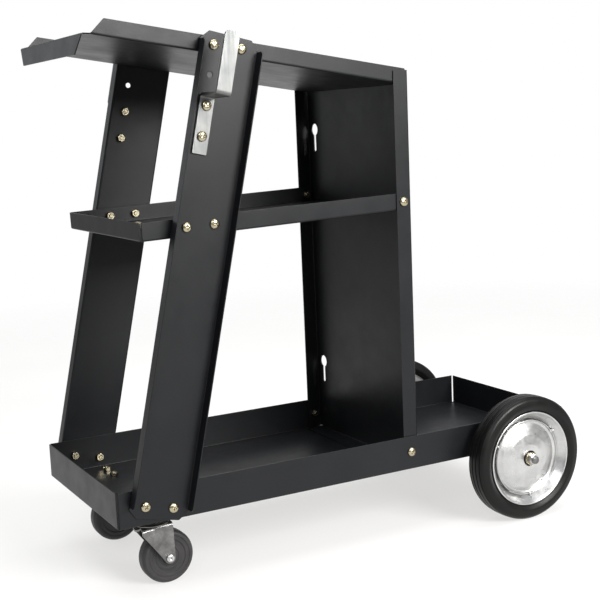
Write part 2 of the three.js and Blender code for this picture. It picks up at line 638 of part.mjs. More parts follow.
// A bent fork: a crown with a ball cup on it and two arms that taper down to the wheel's axle.
function casterFork(caster, { name }) {
  const cupTop = TRAY_BOTTOM - GAP - CASTER_SHEET - CASTER_NECK_HEIGHT - GAP;
  const crownTop = cupTop - CASTER_CUP_HEIGHT;
  const crownLow = crownTop - CASTER_SHEET;
  const arm = new THREE.Shape();
  arm.moveTo(CROWN_FRONT, crownTop);
  arm.lineTo(CROWN_FRONT, crownTop - FORK_FRONT_DROP);
  arm.absarc(CASTER_TRAIL, CASTER_WHEEL_RADIUS, FORK_END_RADIUS, Math.PI * 1.25, Math.PI * 2, false);
  arm.lineTo(CROWN_REAR, crownTop);
  arm.closePath();
  const arms = sides.map(({ y }) => (
    profileAlongY(arm, ...facesAt(y, FORK_HALF_WIDTH - CASTER_SHEET, FORK_HALF_WIDTH))));
  const crown = box([CROWN_FRONT, -FORK_HALF_WIDTH, crownLow], [CROWN_REAR, FORK_HALF_WIDTH, crownTop]);
  const cup = rodAlongZ(CASTER_CUP_RADIUS, crownLow, cupTop, 0, 0, MEDIUM_ROUND);
  const pinHole = rodAlongZ(KINGPIN_RADIUS + 2 * GAP, crownLow - GAP, THROUGH, 0, 0);
  const axleHole = rodAlongY(
    CASTER_AXLE_RADIUS + GAP, -THROUGH, THROUGH, CASTER_TRAIL, CASTER_WHEEL_RADIUS);
  const fork = joined(crown, cup, ...arms).subtract(solid(pinHole)).subtract(solid(axleHole));
  addMesh(caster, `caster_fork_${name}`, surface(fork), bareSteel);
}

function casterWheel(caster, { name }) {
  const half = CASTER_WHEEL_HALF_WIDTH;
  const outline = mirrored([
    [CASTER_AXLE_RADIUS + 2 * GAP, half + 1], [CASTER_HUB_RADIUS, half + 1],
    [CASTER_WHEEL_RADIUS - 13, half - 1.5], [CASTER_WHEEL_RADIUS - 4, half], [CASTER_WHEEL_RADIUS, half - 4],
  ]);
  const wheel = addMesh(caster, `caster_wheel_${name}`, ring(outline, CASTER_ROUND), casterRubber);
  wheel.position.set(CASTER_TRAIL, 0, CASTER_WHEEL_RADIUS);
}

function casterAxle(caster, { name }) {
  const outside = FORK_HALF_WIDTH + GAP;
  const pin = rodAlongY(CASTER_AXLE_RADIUS, -outside - GAP, outside + GAP, 0, 0);
  const heads = sides.map(({ y }) => (
    rodAlongY(CASTER_RIVET_RADIUS, ...facesAt(y, outside, outside + CASTER_RIVET_HEIGHT), 0, 0, 12)));
  const axle = addMesh(caster, `caster_axle_${name}`, surface(joined(pin, ...heads)), bareSteel);
  axle.position.set(CASTER_TRAIL, 0, CASTER_WHEEL_RADIUS);
}

function caster(side) {
  const group = new THREE.Group();
  group.position.set(CASTER_X, side.y * CASTER_Y, 0);
  cart.add(group);
  casterPlate(group, side);
  casterFork(group, side);
  casterWheel(group, side);
  casterAxle(group, side);

  const headFace = TRAY_BOTTOM - GAP - CASTER_SHEET - GAP;
  const nutFace = TRAY_BOTTOM + SHEET + GAP;
  casterBoltPlaces(side.y).forEach(([x, y], i) => {
    const name = `caster_bolt_${side.name}_${i + 1}`;
    const bolt = addMesh(cart, name, boltGeometry(nutFace - headFace), yellowZinc);
    bolt.position.set(x, y, nutFace);
    bolt.rotation.x = Math.PI;
  });
}

// ---- The cart -----------------------------------------------------------------------------

bottomTray();
middleShelf();
topShelf();
rearPanel();
rearAxle();
sides.forEach((side) => {
  leg(side);
  cableHook(side);
  sideBolts(side);
  rearWheel(side);
  axleFasteners(side);
  caster(side);
});

// The origin becomes the bottom centre of the bounding box.
const bounds = new THREE.Box3().setFromObject(cart);
const centre = bounds.getCenter(new THREE.Vector3());
cart.position.set(-centre.x, -centre.y, -bounds.min.z);

export default cart;
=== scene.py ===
import json
import math
import random

import bpy
from mathutils import Matrix, Vector
from mathutils.geometry import delaunay_2d_cdt


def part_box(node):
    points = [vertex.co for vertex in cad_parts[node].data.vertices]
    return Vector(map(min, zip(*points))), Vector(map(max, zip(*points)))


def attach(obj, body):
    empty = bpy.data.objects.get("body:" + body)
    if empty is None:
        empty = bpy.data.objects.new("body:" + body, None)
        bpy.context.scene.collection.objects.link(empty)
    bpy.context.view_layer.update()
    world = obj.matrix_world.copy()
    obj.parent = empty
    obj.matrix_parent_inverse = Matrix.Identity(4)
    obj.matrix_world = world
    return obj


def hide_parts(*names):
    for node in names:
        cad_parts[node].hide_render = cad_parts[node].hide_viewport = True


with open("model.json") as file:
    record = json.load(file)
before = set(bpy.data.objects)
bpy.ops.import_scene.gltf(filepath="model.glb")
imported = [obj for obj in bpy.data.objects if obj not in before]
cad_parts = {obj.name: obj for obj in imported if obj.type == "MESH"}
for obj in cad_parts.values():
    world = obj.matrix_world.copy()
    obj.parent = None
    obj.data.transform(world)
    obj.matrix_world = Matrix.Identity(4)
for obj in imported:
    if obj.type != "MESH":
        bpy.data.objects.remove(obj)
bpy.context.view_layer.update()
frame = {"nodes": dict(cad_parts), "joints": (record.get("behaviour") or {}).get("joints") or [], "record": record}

# A black sheet-steel welding cart. Sizes are in millimetres, and meshes are placed in metres.
# The pieces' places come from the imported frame.
random.seed(7)

MM = 0.001
X, Y, Z = Vector((1, 0, 0)), Vector((0, 1, 0)), Vector((0, 0, 1))
MIRROR_Y = Matrix.Diagonal((1, -1, 1, 1))
SIDES = (("left", -1), ("right", 1))

# ---- Sizes ----

QUARTER = math.pi / 2
SHEET = 1.5  # thickness of the folded sheets
BEND = 2.4  # outside radius of a fold
BEND_STEPS = 8
GUARD = 1.2  # width of the strip that keeps the face beside a fold or hole flat
EDGE = 0.35  # rounding of a sheet's cut edges
BAR_EDGE = 0.5  # the same on the hooks and the caster forks
HOLE = 3.6  # radius of a bolt hole
SEAM = 2.6  # from a corner to the end of a flange
RELIEF = 1.0  # how far the tray's corner notch reaches in past that
CORNER = 1.5  # rounding of a flange's outer corner

TRAY_DEPTH = 47.0
PANEL_DEPTH = 22.8
PANEL_LIP = 29.0
PANEL_LIP_INSET = 8.0  # from the panel's side to the end of its lip
PANEL_START = 400.0  # height of the pattern's origin above the panel's lip
MIDDLE_DEPTH = 23.2
MIDDLE_AT = 150.0  # from the front edge back to the shelf's mount
TOP_DEPTH = 20.5
TOP_LIP = 23.0
TOP_AT = 200.0
TOP_CORNER = 9.0
TOP_TAPER = 19.0
TOP_START = 7.0
TOP_SLANT = 16.0

BRACKET_AT = 120.0  # from the middle of the cart to an axle bracket
BRACKET_HALF = (17.0, 9.0)  # half its width at the tray and at the axle
BRACKET_STEP = 3.0
BRACKET_BORE = 5.9

LEG_LEAN = math.radians(12.8)
LEG_WIDTH = 79.5
LEG_FLANGE = 17.0
LEG_WEB = (14.0, 617.0)
LEG_FLANGES = (28.0, 605.0)
LEG_CORNER = 11.0
LEG_TIP = 4.0
LEG_SLIT = 0.4
SPARE_HOLE = (20.0, 564.9)  # the leg's empty hole above the hook

HOOK = {"centre": 20.0, "start": 468.0, "step": 541.0, "end": 614.0, "width": 19.0, "thick": 3.0,
        "foot_round": 0.8, "tip_round": 6.0}
HOOK_BOLTS = ["hook_bolt_left_lower", "hook_bolt_left_upper"]

KEYHOLE_Y = 118.0
KEYHOLE_RADIUS = 9.0
KEYHOLE_SLOT = 33.0
KEYHOLE_HALF = 3.4
KEYHOLE_HEIGHTS = (109.2, 470.2)  # above the panel's lip

HEAD_RADIUS = 6.3
HEAD_HEIGHT = 3.8
HEAD_RIM = 0.9  # height of the head's side below its dome
SHANK_RADIUS = 3.0
NUT_HEIGHT = 5.0
NUT_APOTHEM = 4.95
THREAD_END = 1.5  # how far the screw stands out of its nut

AXLE_RADIUS = 5.5
AXLE_PLAIN = 100.0  # half of its middle stretch
AXLE_THREAD = 12.0
AXLE_CHAMFER = 1.2
AXLE_BORE = 5.7  # radius of the hole in the nut
AXLE_NUT_APOTHEM = 6.9
AXLE_NUT_HALF = 3.0
AXLE_NUT_TURN = 17.0  # degrees
WASHER = {"bore": 5.7, "radius": 9.3, "half": 1.5, "bore_round": 0.2, "rim_round": 0.6}
HUB = {"bore": 5.8, "radius": 9.3, "half": 14, "bore_round": 0.5, "rim_round": 0.8}

TABS = 3
TAB_TURN = 35.0  # degrees from the wheel's rear up to its first tab
TAB_RADIUS = 55.6
TAB_OFFSET = 5.6  # from the wheel's middle plane
TAB_BASE = [(-2.2, -3.4, 0), (2.2, -3.4, 0), (2.6, 3.8, 0), (-2.6, 3.8, 0)]
TAB_TOP = [(-1.0, -2.6, 2.2), (1.0, -2.6, 2.2), (1.5, 3.2, 3.6), (-1.5, 3.2, 3.6)]
TAB_ROUND = 0.8

CASTER_SHEET = 2.5
PLATE_CORNER = 5.0
CROWN = (-18.0, 24.0)  # front and rear ends of the crown's straight sides
CROWN_ROUND = 22.4
CROWN_BORE = 4.8
NOSE_START = 14.0
NOSE_DROOP = 0.075  # how fast the crown's round front bends down
ARM_HALF = 15.5
ARM_BEND = 5.0
ARM_END = 7.5  # radius of an arm's round end
ARM_ROUND = (-8.0, 135.0)  # where that round starts and stops, in degrees
ARM_BORE = 3.4
FRONT_DROP = 9.0  # how far an arm's front edge hangs down at the crown
CREASE_TOP = 4.0  # where the crease starts and ends, from the swivel's axis back
CREASE_LOW = 12.5
CREASE_RIB = 1.1  # height of the ridge pressed along the arm
CREASE_HALF = 2.0
CREASE_RUN = 7.0  # width of the slope in front of the ridge
CREASE_SLOPE = 0.3
CUP_HEIGHT = 5.2

# The stage, in metres in the cart's frame.
FLOOR_HALF = 2.6
FLOOR_FADE = (1.2, 2.5)  # the floor fades out between these distances
CAMERA_LENS = 70.456
CAMERA_PLACE = (-0.79852, -1.46366, 0.58381)
CAMERA_TURN = (-28.324, 8.724, -2.442)  # yaw, pitch and roll in degrees
BACKDROP = (0.47, 0.875, 0.06)  # the white direction, behind the cart in the photograph
BACKDROP_EDGE = (0.84, 0.925)  # from grey to white, as the cosine from that direction
SKY = ((0.35, (0.36, 0.35, 0.34)), (0.48, (0.36, 0.355, 0.35)), (0.55, (0.37, 0.375, 0.38)),
       (0.8, (0.45, 0.46, 0.475)))  # from straight down to straight up
LIGHTS = (  # name, place, target, width, height, watts, colour
    ("overhead", (0.1, 0.0, 2.5), (0.1, 0, 0), 2.6, 2.2, 62, (1, 1, 1)),
    ("side", (0.62, -2.2, 1.35), (-0.05, 0, 0.85), 1.3, 0.9, 100, (1.0, 0.99, 0.97)),
    ("front", (-1.5, -1.9, 1.9), (0, 0, 0.3), 0.8, 0.8, 14, (1, 1, 1)),
    ("far", (-1.6, 2.1, 1.1), (-0.2, 0, 0.5), 1.3, 1.0, 4.5, (0.94, 0.97, 1.0)),
)


# ---- Mesh helpers ----

def make_object(name, vertices, faces, material, matrix=None, sharp=None):
    """A smooth mesh, hard where it turns by more than the sharp angle, in degrees."""
    mesh = bpy.data.meshes.new(name)
    mesh.from_pydata([tuple(v) for v in vertices], [], faces)
    if matrix is not None:
        mesh.transform(matrix)
        if matrix.determinant() < 0:
            mesh.flip_normals()
    mesh.update()
    mesh.polygons.foreach_set("use_smooth", [True] * len(mesh.polygons))
    if sharp is not None:
        mesh.set_sharp_from_angle(angle=math.radians(sharp))
    mesh.materials.append(material)
    thing = bpy.data.objects.new(name, mesh)
    bpy.context.scene.collection.objects.link(thing)
    return thing


def keep(thing, body, node=None):
    """Rides on its body and stands for its CAD node."""
    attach(thing, body)
    if node:
        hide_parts(node)


def placed(origin, along, across, out):
    """From a piece's own millimetres to the cart's metres."""
    axes = Matrix((along, across, out)).transposed().to_4x4()
    return Matrix.Translation(origin) @ axes @ Matrix.Scale(MM, 4)


def arc_points(centre, radius, first, turn, steps):
    """Points along an arc that starts at the first angle and goes on by turn."""
    angles = (first + turn * i / steps for i in range(steps + 1))
    return [(centre[0] + radius * math.cos(a), centre[1] + radius * math.sin(a)) for a in angles]


def circle(centre, radius, sides=32):
    return arc_points(centre, radius, 0, 2 * math.pi, sides)[:-1]


def both_sides(half):
    """Half an outline, then its mirror image across the second axis."""
    return half + [(-a, *rest) for a, *rest in reversed(half)]


def mirrored(half):
    """Half an outline, then its mirror image across the first axis."""
    return half + [(a, -b, *rest) for a, b, *rest in reversed(half)]


def rounded(corners, steps=5):
    """A closed outline from (a, b, radius) corners."""
    outline = []
    for i, (a, b, radius) in enumerate(corners):
        here = Vector((a, b))
        before = (Vector(corners[i - 1][:2]) - here).normalized()
        after = (Vector(corners[(i + 1) % len(corners)][:2]) - here).normalized()
        half = before.angle(after) / 2
        if radius == 0 or half > QUARTER * 0.99:
            outline.append((a, b))
            continue
        centre = here + (before + after).normalized() * radius / math.sin(half)
        spokes = [here + side * radius / math.tan(half) - centre for side in (before, after)]
        first, last = (math.atan2(s.y, s.x) for s in spokes)
        turn = (last - first + math.pi) % (2 * math.pi) - math.pi
        outline += arc_points(centre, radius, first, turn, steps)
    return outline


def ring_round(hole, gap):
    """The hole's outline moved outwards, which keeps the face round a hole flat."""
    centre = sum((Vector(p) for p in hole), Vector((0, 0))) / len(hole)
    return [Vector(p) + (Vector(p) - centre).normalized() * gap for p in hole]


def inside(point, outline):
    """Whether a point lies within an outline."""
    odd = False
    for (ax, ay), (bx, by) in zip(outline, outline[1:] + outline[:1]):
        if (ay > point[1]) != (by > point[1]):
            if point[0] < ax + (point[1] - ay) * (bx - ax) / (by - ay):
                odd = not odd
    return odd


# ---- Folded sheet ----

def bend_along(distance, folds):
    """Follows a flat distance through its (start, radius, turn) folds: forward, up, angle."""
    forward = up = angle = at = 0.0
    for start, radius, turn in folds:
        if distance <= start:
            break
        forward += (start - at) * math.cos(angle)
        up += (start - at) * math.sin(angle)
        side = math.copysign(1, turn)
        arc = side * min((distance - start) / radius, abs(turn))
        forward += radius * side * (math.sin(angle + arc) - math.sin(angle))
        up += radius * side * (math.cos(angle) - math.cos(angle + arc))
        angle += arc
        at = start + radius * abs(turn)
        if distance <= at:
            return forward, up, angle
    forward += (distance - at) * math.cos(angle)
    up += (distance - at) * math.sin(angle)
    return forward, up, angle


def folded(point, folds, span):
    """The place and the normal of a pattern point on the folded sheet's outer face."""
    place, normal = Vector((0, 0, 0)), Vector((0, 0, 1))
    for axis, value in enumerate(point):
        side = 1 if value >= 0 else -1
        sequence = folds.get((axis, side), ())
        if span and not span[0] <= point[1 - axis] <= span[1]:
            sequence = ()
        forward, up, angle = bend_along(abs(value), sequence)
        place[axis] += side * forward
        place.z += up
        normal[axis] -= side * math.sin(angle)
        normal.z *= math.cos(angle)
    return place, normal


def fold_lines(folds, span, reach):
    """The pattern's lines across each fold, so that the sheet bends there."""
    low, high = span or (-reach, reach)
    lines = []
    for (axis, side), sequence in folds.items():
        for start, radius, turn in sequence:
            arc = radius * abs(turn)
            steps = [arc * step / BEND_STEPS for step in range(BEND_STEPS + 1)]
            for beyond in (-GUARD, *steps, arc + GUARD):
                at = side * (start + beyond)
                ends = [(at, low), (at, high)]
                lines.append([end if axis == 0 else end[::-1] for end in ends])
    return lines


def triangulate(outline, holes, lines):
    """The pattern's points, and its triangles without the holes, all turned the same way."""
    points, edges = [], []
    for loop in (outline, *holes, *(ring_round(hole, GUARD) for hole in holes)):
        first = len(points)
        points += [Vector(p) for p in loop]
        edges += [(first + i, first + (i + 1) % len(loop)) for i in range(len(loop))]
    for line in lines:
        edges.append((len(points), len(points) + 1))
        points += [Vector(p) for p in line]
    flat, _, triangles, *_ = delaunay_2d_cdt(points, edges, [], 0, 1e-4)
    kept = []
    for corners in triangles:
        middle = sum((flat[i] for i in corners), Vector((0, 0))) / 3
        if inside(middle, outline) and not any(inside(middle, hole) for hole in holes):
            a, b, c = (flat[i] for i in corners)
            kept.append(corners if (b - a).cross(c - a) > 0 else corners[::-1])
    return flat, kept


def thickened(triangles, count):
    """The faces of two copies of a pattern with count points, and the pairs along its cut edges."""
    faces, directed = [], []
    for a, b, c in triangles:
        faces += [(c, b, a), (a + count, b + count, c + count)]
        directed += [(a, b), (b, c), (c, a)]
    known = set(directed)
    cuts = [pair for pair in directed if pair[::-1] not in known]
    faces += [(b + count, a + count, a, b) for a, b in cuts]
    return faces, cuts


def round_edges(thing, pairs, width):
    """Rounds the edges between these pairs of vertices, and weights the normals by face."""
    sharp = {frozenset(pair) for pair in pairs}
    weights = thing.data.attributes.new("bevel_weight_edge", "FLOAT", "EDGE")
    for line in thing.data.edges:
        weights.data[line.index].value = 1.0 if frozenset(line.vertices) in sharp else 0.0
    bevel = thing.modifiers.new("edge", "BEVEL")
    bevel.limit_method = "WEIGHT"
    bevel.width = width * MM
    bevel.segments = 2
    weighted = thing.modifiers.new("shading", "WEIGHTED_NORMAL")
    weighted.mode = "FACE_AREA"
    weighted.weight = 50


def sheet(name, outline, material, matrix, holes=(), folds=None, span=None,
          thickness=SHEET, edge=EDGE, extra=(), shape=None):
    """A flat pattern, folded and given its thickness, as one closed body with rounded edges.
    extra adds lines to the pattern, and shape moves the places on the outer face."""
    folds = folds or {}
    reach = max(abs(c) for point in outline for c in point) + 1
    flat, kept = triangulate(outline, holes, (*fold_lines(folds, span, reach), *extra))
    used = sorted({i for corners in kept for i in corners})
    index = {old: new for new, old in enumerate(used)}
    outer, inner = [], []
    for old in used:
        place, normal = folded(flat[old], folds, span)
        if shape:
            place = shape(place)
        outer.append(place)
        inner.append(place + normal * thickness)
    count = len(used)
    faces, cuts = thickened([[index[i] for i in corners] for corners in kept], count)
    thing = make_object(name, outer + inner, faces, material, matrix)
    round_edges(thing, cuts + [(a + count, b + count) for a, b in cuts], edge)
    return thing


# ---- Turned pieces ----

def loft(name, stations, material, segments, sharp, along_z=True):
    """Turns (radius, height) stations round an axis. A station may be a function of the angle.
    The outline starts and ends on the axis, or else it closes on itself."""
    vertices, rings = [], []
    for station in stations:
        if not callable(station) and station[0] == 0:
            rings.append([len(vertices)] * segments)
            vertices.append((0, 0, station[1]))
            continue
        rings.append(list(range(len(vertices), len(vertices) + segments)))
        for i in range(segments):
            angle = 2 * math.pi * i / segments
            radius, height = station(angle) if callable(station) else station
            vertices.append((radius * math.cos(angle), radius * math.sin(angle), height))
    if stations[0][0] != 0:
        rings.append(rings[0])
    faces = []
    for low, high in zip(rings, rings[1:]):
        for i in range(segments):
            j = (i + 1) % segments
            corners = [low[i], low[j], high[j], high[i]]
            faces.append(tuple(dict.fromkeys(corners)))
    turned = Matrix.Identity(4) if along_z else Matrix.Rotation(-QUARTER, 4, "X")
    thing = make_object(name, vertices, faces, material, Matrix.Scale(MM, 4) @ turned, sharp)
    volume = sum(
        thing.data.vertices[p.vertices[0]].co.dot(p.normal) * p.area for p in thing.data.polygons)
    if volume < 0:
        thing.data.flip_normals()
    return thing


def ring(name, outline, material, segments):
    """A closed (radius, y) outline turned about Y."""
    return loft(name, outline, material, segments, 40, along_z=False)


def tube_outline(bore, radius, half, bore_round, rim_round):
    """A plain tube with rounded edges."""
    return rounded(mirrored([(bore, -half, bore_round), (radius, -half, rim_round)]))


def both_ends(half):
    """A whole pin's stations, from those of its upper half."""
    return [(radius, -height) for radius, height in reversed(half)] + half


def nut_stations(apothem, low, high, chamfer=30, face=0.97):
    """A hexagon between two heights, with chamfered corners round its flat face."""
    slope = math.tan(math.radians(chamfer))
    flat = apothem * face
    sixth = math.pi / 3

    def corner(height, side):
        def station(angle):
            radius = apothem / math.cos((angle + sixth / 2) % sixth - sixth / 2)
            return radius, height - side * max(0, radius - flat) * slope
        return station

    return [(flat, high), corner(high, 1), corner(low, -1), (flat, low)]


def threads(radius, low, high, pitch=1.0, depth=0.45):
    """Ridges of a thread from high down to low."""
    turns = int((high - low) / pitch)
    stations = []
    for i in range(turns):
        top = high - i * pitch
        stations += [(radius - depth, top), (radius, top - pitch * 0.4), (radius, top - pitch * 0.55)]
    return stations + [(radius - depth, low)]


# ---- Materials ----

class Nodes:
    """A node tree whose nodes are made one after the other."""

    def __init__(self, tree):
        self.tree = tree

    def node(self, kind, **values):
        made = self.tree.nodes.new(kind)
        for key, value in values.items():
            setattr(made, key, value)
        return made

    def link(self, source, target):
        self.tree.links.new(source, target)

    def ramp(self, value, *stops):
        """Each stop is (position, colour)."""
        made = self.node("ShaderNodeValToRGB")
        elements = made.color_ramp.elements
        while len(elements) < len(stops):
            elements.new(0.5)
        for element, (position, color) in zip(elements, stops):
            element.position = position
            element.color = (*color, 1.0)
        self.link(value, made.inputs["Fac"])
        return made.outputs["Color"]

    def spread(self, value, low, high, source=(0.3, 0.7), kind="LINEAR"):
        """Maps the source range to the range from low to high."""
        made = self.node("ShaderNodeMapRange", interpolation_type=kind)
        made.inputs["From Min"].default_value = source[0]
        made.inputs["From Max"].default_value = source[1]
        made.inputs["To Min"].default_value = low
        made.inputs["To Max"].default_value = high
        self.link(value, made.inputs["Value"])
        return made.outputs["Result"]

    def blend(self, factor, color, constant):
        """Mixes a constant colour into a colour by a factor."""
        made = self.node("ShaderNodeMix", data_type="RGBA")
        self.link(factor, made.inputs[0])
        self.link(color, made.inputs[6])
        made.inputs[7].default_value = (*constant, 1.0)
        return made.outputs[2]


class Paint(Nodes):
    """A material, with textures in the object's own metres."""

    def __init__(self, name, metallic=0.0, **constants):
        self.material = bpy.data.materials.new(name)
        self.material.use_nodes = True
        super().__init__(self.material.node_tree)
        self.shader = self.tree.nodes["Principled BSDF"]
        self.shader.inputs["Metallic"].default_value = metallic
        for label, value in constants.items():
            self.shader.inputs[label.replace("_", " ")].default_value = value
        self.place = self.node("ShaderNodeTexCoord").outputs["Object"]

    def noise(self, scale, detail, roughness, stretch=(1, 1, 1)):
        mapping = self.node("ShaderNodeMapping")
        mapping.inputs["Scale"].default_value = stretch
        self.link(self.place, mapping.inputs["Vector"])
        made = self.node("ShaderNodeTexNoise")
        made.inputs["Scale"].default_value = scale
        made.inputs["Detail"].default_value = detail
        made.inputs["Roughness"].default_value = roughness
        self.link(mapping.outputs["Vector"], made.inputs["Vector"])
        return made.outputs["Fac"]

    def edges(self, reach):
        """Dark where the metal turns away within the reach, in millimetres."""
        made = self.node("ShaderNodeAmbientOcclusion", inside=True, samples=6)
        made.inputs["Distance"].default_value = reach * MM
        return made.outputs["AO"]

    def bump(self, *layers):
        """Each layer is (height, strength, distance in millimetres)."""
        normal = None
        for height, strength, distance in layers:
            made = self.node("ShaderNodeBump")
            made.inputs["Strength"].default_value = strength
            made.inputs["Distance"].default_value = distance * MM
            self.link(height, made.inputs["Height"])
            if normal is not None:
                self.link(normal, made.inputs["Normal"])
            normal = made.outputs["Normal"]
        self.link(normal, self.shader.inputs["Normal"])

    def use(self, color, roughness=None):
        self.link(color, self.shader.inputs["Base Color"])
        if roughness is not None:
            self.link(roughness, self.shader.inputs["Roughness"])
        return self.material


def powder_coat():
    """Satin black powder coat: fine orange peel, uneven gloss and slightly worn edges."""
    paint = Paint("black_powder_coat", IOR=1.345)
    cloud = paint.noise(9, 4, 0.6)
    color = paint.ramp(cloud, (0.3, (0.0038, 0.0044, 0.0054)), (0.7, (0.0062, 0.0068, 0.0080)))
    wear = paint.spread(paint.edges(0.8), 0.35, 0.0, (0.0, 0.6))
    color = paint.blend(wear, color, (0.035, 0.037, 0.04))
    roughness = paint.spread(paint.noise(26, 5, 0.65), 0.36, 0.46)
    peel = paint.noise(520, 2, 0.5)
    grain = paint.noise(1500, 2, 0.6)
    paint.bump((peel, 0.22, 0.25), (grain, 0.16, 0.12))
    return paint.use(color, roughness)


def brushed_steel():
    """Bright flat bar with fine upright brushing."""
    paint = Paint("brushed_hook", metallic=1.0)
    lines = paint.noise(420, 3, 0.6, stretch=(1.0, 1.0, 0.03))
    cloud = paint.noise(40, 4, 0.6)
    color = paint.ramp(cloud, (0.3, (0.155, 0.162, 0.162)), (0.7, (0.215, 0.215, 0.21)))
    roughness = paint.spread(lines, 0.44, 0.62)
    paint.bump((lines, 0.12, 0.06))
    return paint.use(color, roughness)


def bright_zinc():
    """Bright zinc on pressed sheet, softly mottled."""
    paint = Paint("bright_zinc", metallic=1.0)
    cloud = paint.noise(34, 5, 0.62)
    color = paint.ramp(cloud, (0.3, (0.47, 0.47, 0.47)), (0.7, (0.64, 0.64, 0.63)))
    roughness = paint.spread(paint.noise(120, 5, 0.7), 0.25, 0.38)
    paint.bump((paint.noise(60, 2, 0.5), 0.10, 0.5), (paint.noise(900, 2, 0.5), 0.06, 0.08))
    return paint.use(color, roughness)


def zinc_steel():
    """Plain zinc-plated steel, duller than the rims. Its dark base colour is partly painted shade, for the caster
    parts that sit in the shadow under the tray.
    """
    paint = Paint("zinc_steel", metallic=1.0)
    cloud = paint.noise(80, 5, 0.65)
    # Dark zinc colours: partly the duller plating, partly painted shade for the shadowed caster parts.
    color = paint.ramp(cloud, (0.3, (0.11, 0.105, 0.10)), (0.7, (0.25, 0.25, 0.25)))
    roughness = paint.spread(paint.noise(260, 4, 0.6), 0.26, 0.42)
    paint.bump((paint.noise(600, 3, 0.6), 0.10, 0.1))
    return paint.use(color, roughness)


def yellow_zinc():
    """Yellow passivated zinc, paler and greener in patches."""
    paint = Paint("yellow_zinc", metallic=1.0)
    cloud = paint.noise(240, 3, 0.6)
    color = paint.ramp(
        cloud, (0.3, (0.33, 0.27, 0.15)), (0.5, (0.46, 0.41, 0.29)), (0.7, (0.36, 0.35, 0.26)))
    roughness = paint.spread(paint.noise(500, 3, 0.6), 0.18, 0.30)
    paint.bump((paint.noise(1400, 2, 0.5), 0.08, 0.06))
    return paint.use(color, roughness)


def tyre_rubber():
    """Black moulded rubber with a dull sheen, a little dusty in patches."""
    paint = Paint("black_tyre", IOR=1.29)
    cloud = paint.noise(22, 5, 0.65)
    color = paint.ramp(cloud, (0.3, (0.0022, 0.0023, 0.0024)), (0.75, (0.0050, 0.0047, 0.0041)))
    roughness = paint.spread(paint.noise(60, 5, 0.65), 0.30, 0.44)
    paint.bump((paint.noise(70, 3, 0.5), 0.12, 0.5), (paint.noise(1100, 3, 0.6), 0.18, 0.12))
    return paint.use(color, roughness)


def caster_rubber():
    """Dark grey rubber with a matt moulded face."""
    paint = Paint("grey_rubber", Specular_IOR_Level=0.35)
    cloud = paint.noise(60, 5, 0.6)
    color = paint.ramp(cloud, (0.3, (0.019, 0.018, 0.019)), (0.75, (0.034, 0.032, 0.032)))
    roughness = paint.spread(paint.noise(160, 4, 0.6), 0.42, 0.6)
    paint.bump((paint.noise(900, 3, 0.6), 0.2, 0.15))
    return paint.use(color, roughness)


def floor_paint():
    """A pale floor that gives a little light of its own and fades away further out."""
    paint = Paint("pale_floor", Roughness=0.9, Specular_IOR_Level=0.1, Emission_Strength=0.64)
    paint.shader.inputs["Emission Color"].default_value = (1, 0.99, 0.975, 1)
    cloud = paint.noise(3, 3, 0.5)
    color = paint.ramp(cloud, (0.3, (0.26, 0.26, 0.26)), (0.7, (0.28, 0.28, 0.28)))
    offset = paint.node("ShaderNodeVectorMath", operation="LENGTH")
    paint.link(paint.place, offset.inputs[0])
    fade = paint.spread(offset.outputs["Value"], 1.0, 0.0, FLOOR_FADE)
    paint.link(fade, paint.shader.inputs["Alpha"])
    return paint.use(color)


BLACK = powder_coat()
HOOK_STEEL = brushed_steel()
BRIGHT = bright_zinc()
# Zinc painted darker as shade, for the parts that sit under the tray.
ZINC_PAINTED_SHADE = zinc_steel()
YELLOW = yellow_zinc()
TYRE = tyre_rubber()
GREY = caster_rubber()


# ---- Places from the frame ----

def size(node):
    """The extents of a CAD node in millimetres."""
    low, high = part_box(node)
    return (high - low) / MM


def mount_frame(name):
    """The sheet's outer side below a mount, and the directions along and out of its face."""
    mount = next(m for m in frame["record"]["mounts"] if m["name"] == name)
    out = Vector(mount["axis"]).normalized()
    along = Vector((out.z, 0, -out.x))
    return Vector(mount["pos_m"]) - out * SHEET * MM, along, out


def joint_place(name):
    joint = next(j for j in frame["joints"] if j["name"] == name)
    return Vector(joint["pos_m"])


def leg_frame():
    """The leg's own origin, and the directions across and along it."""
    low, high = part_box("leg_left")
    across = Vector((math.cos(LEG_LEAN), 0, -math.sin(LEG_LEAN)))
    along = Vector((math.sin(LEG_LEAN), 0, math.cos(LEG_LEAN)))
    foot = (LEG_WEB[0] + LEG_CORNER) * along.x * MM
    top = (along * LEG_WEB[1] + across * LEG_CORNER).z * MM
    return Vector((low.x - foot, high.y, high.z - top)), across, along


def centre_of(node):
    low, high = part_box(node)
    return (low + high) / 2


def flange_at(half, height, bend=BEND):
    """How far out on the pattern a point lies that is at this height on a flange."""
    return half - bend + bend * QUARTER + height - bend


def keep_at_node(thing, body, node):
    """Moves a turned piece to the middle of its CAD node, and keeps it."""
    thing.location = centre_of(node)
    keep(thing, body, node)


def both_hands(left):
    """Each side's name and matrix: the left piece's own and its mirror image."""
    return ("left", left), ("right", MIRROR_Y @ left)


def leg_bolts(kind):
    """The left leg's two bolts of a kind."""
    return [f"{kind}_bolt_left_{end}" for end in ("front", "rear")]


def side_holes(nodes, origin, along, out, half):
    """Round holes on both side flanges where the bolts' middles are."""
    holes = []
    for node in nodes:
        place = (centre_of(node) - origin) / MM
        centre = (place.dot(along), flange_at(half, place.dot(out)))
        holes += [circle(centre, HOLE), circle((centre[0], -centre[1]), HOLE)]
    return holes


def caster_holes(name, origin):
    """Round holes where the four screws of a caster are."""
    places = [(centre_of(f"caster_bolt_{name}_{i}") - origin) / MM for i in range(1, 5)]
    return [circle((place.x, place.y), HOLE) for place in places]


def right_fold(half, bend=BEND):
    """One fold by a right angle, whose outer face ends at half."""
    return ((half - bend, bend, QUARTER),)


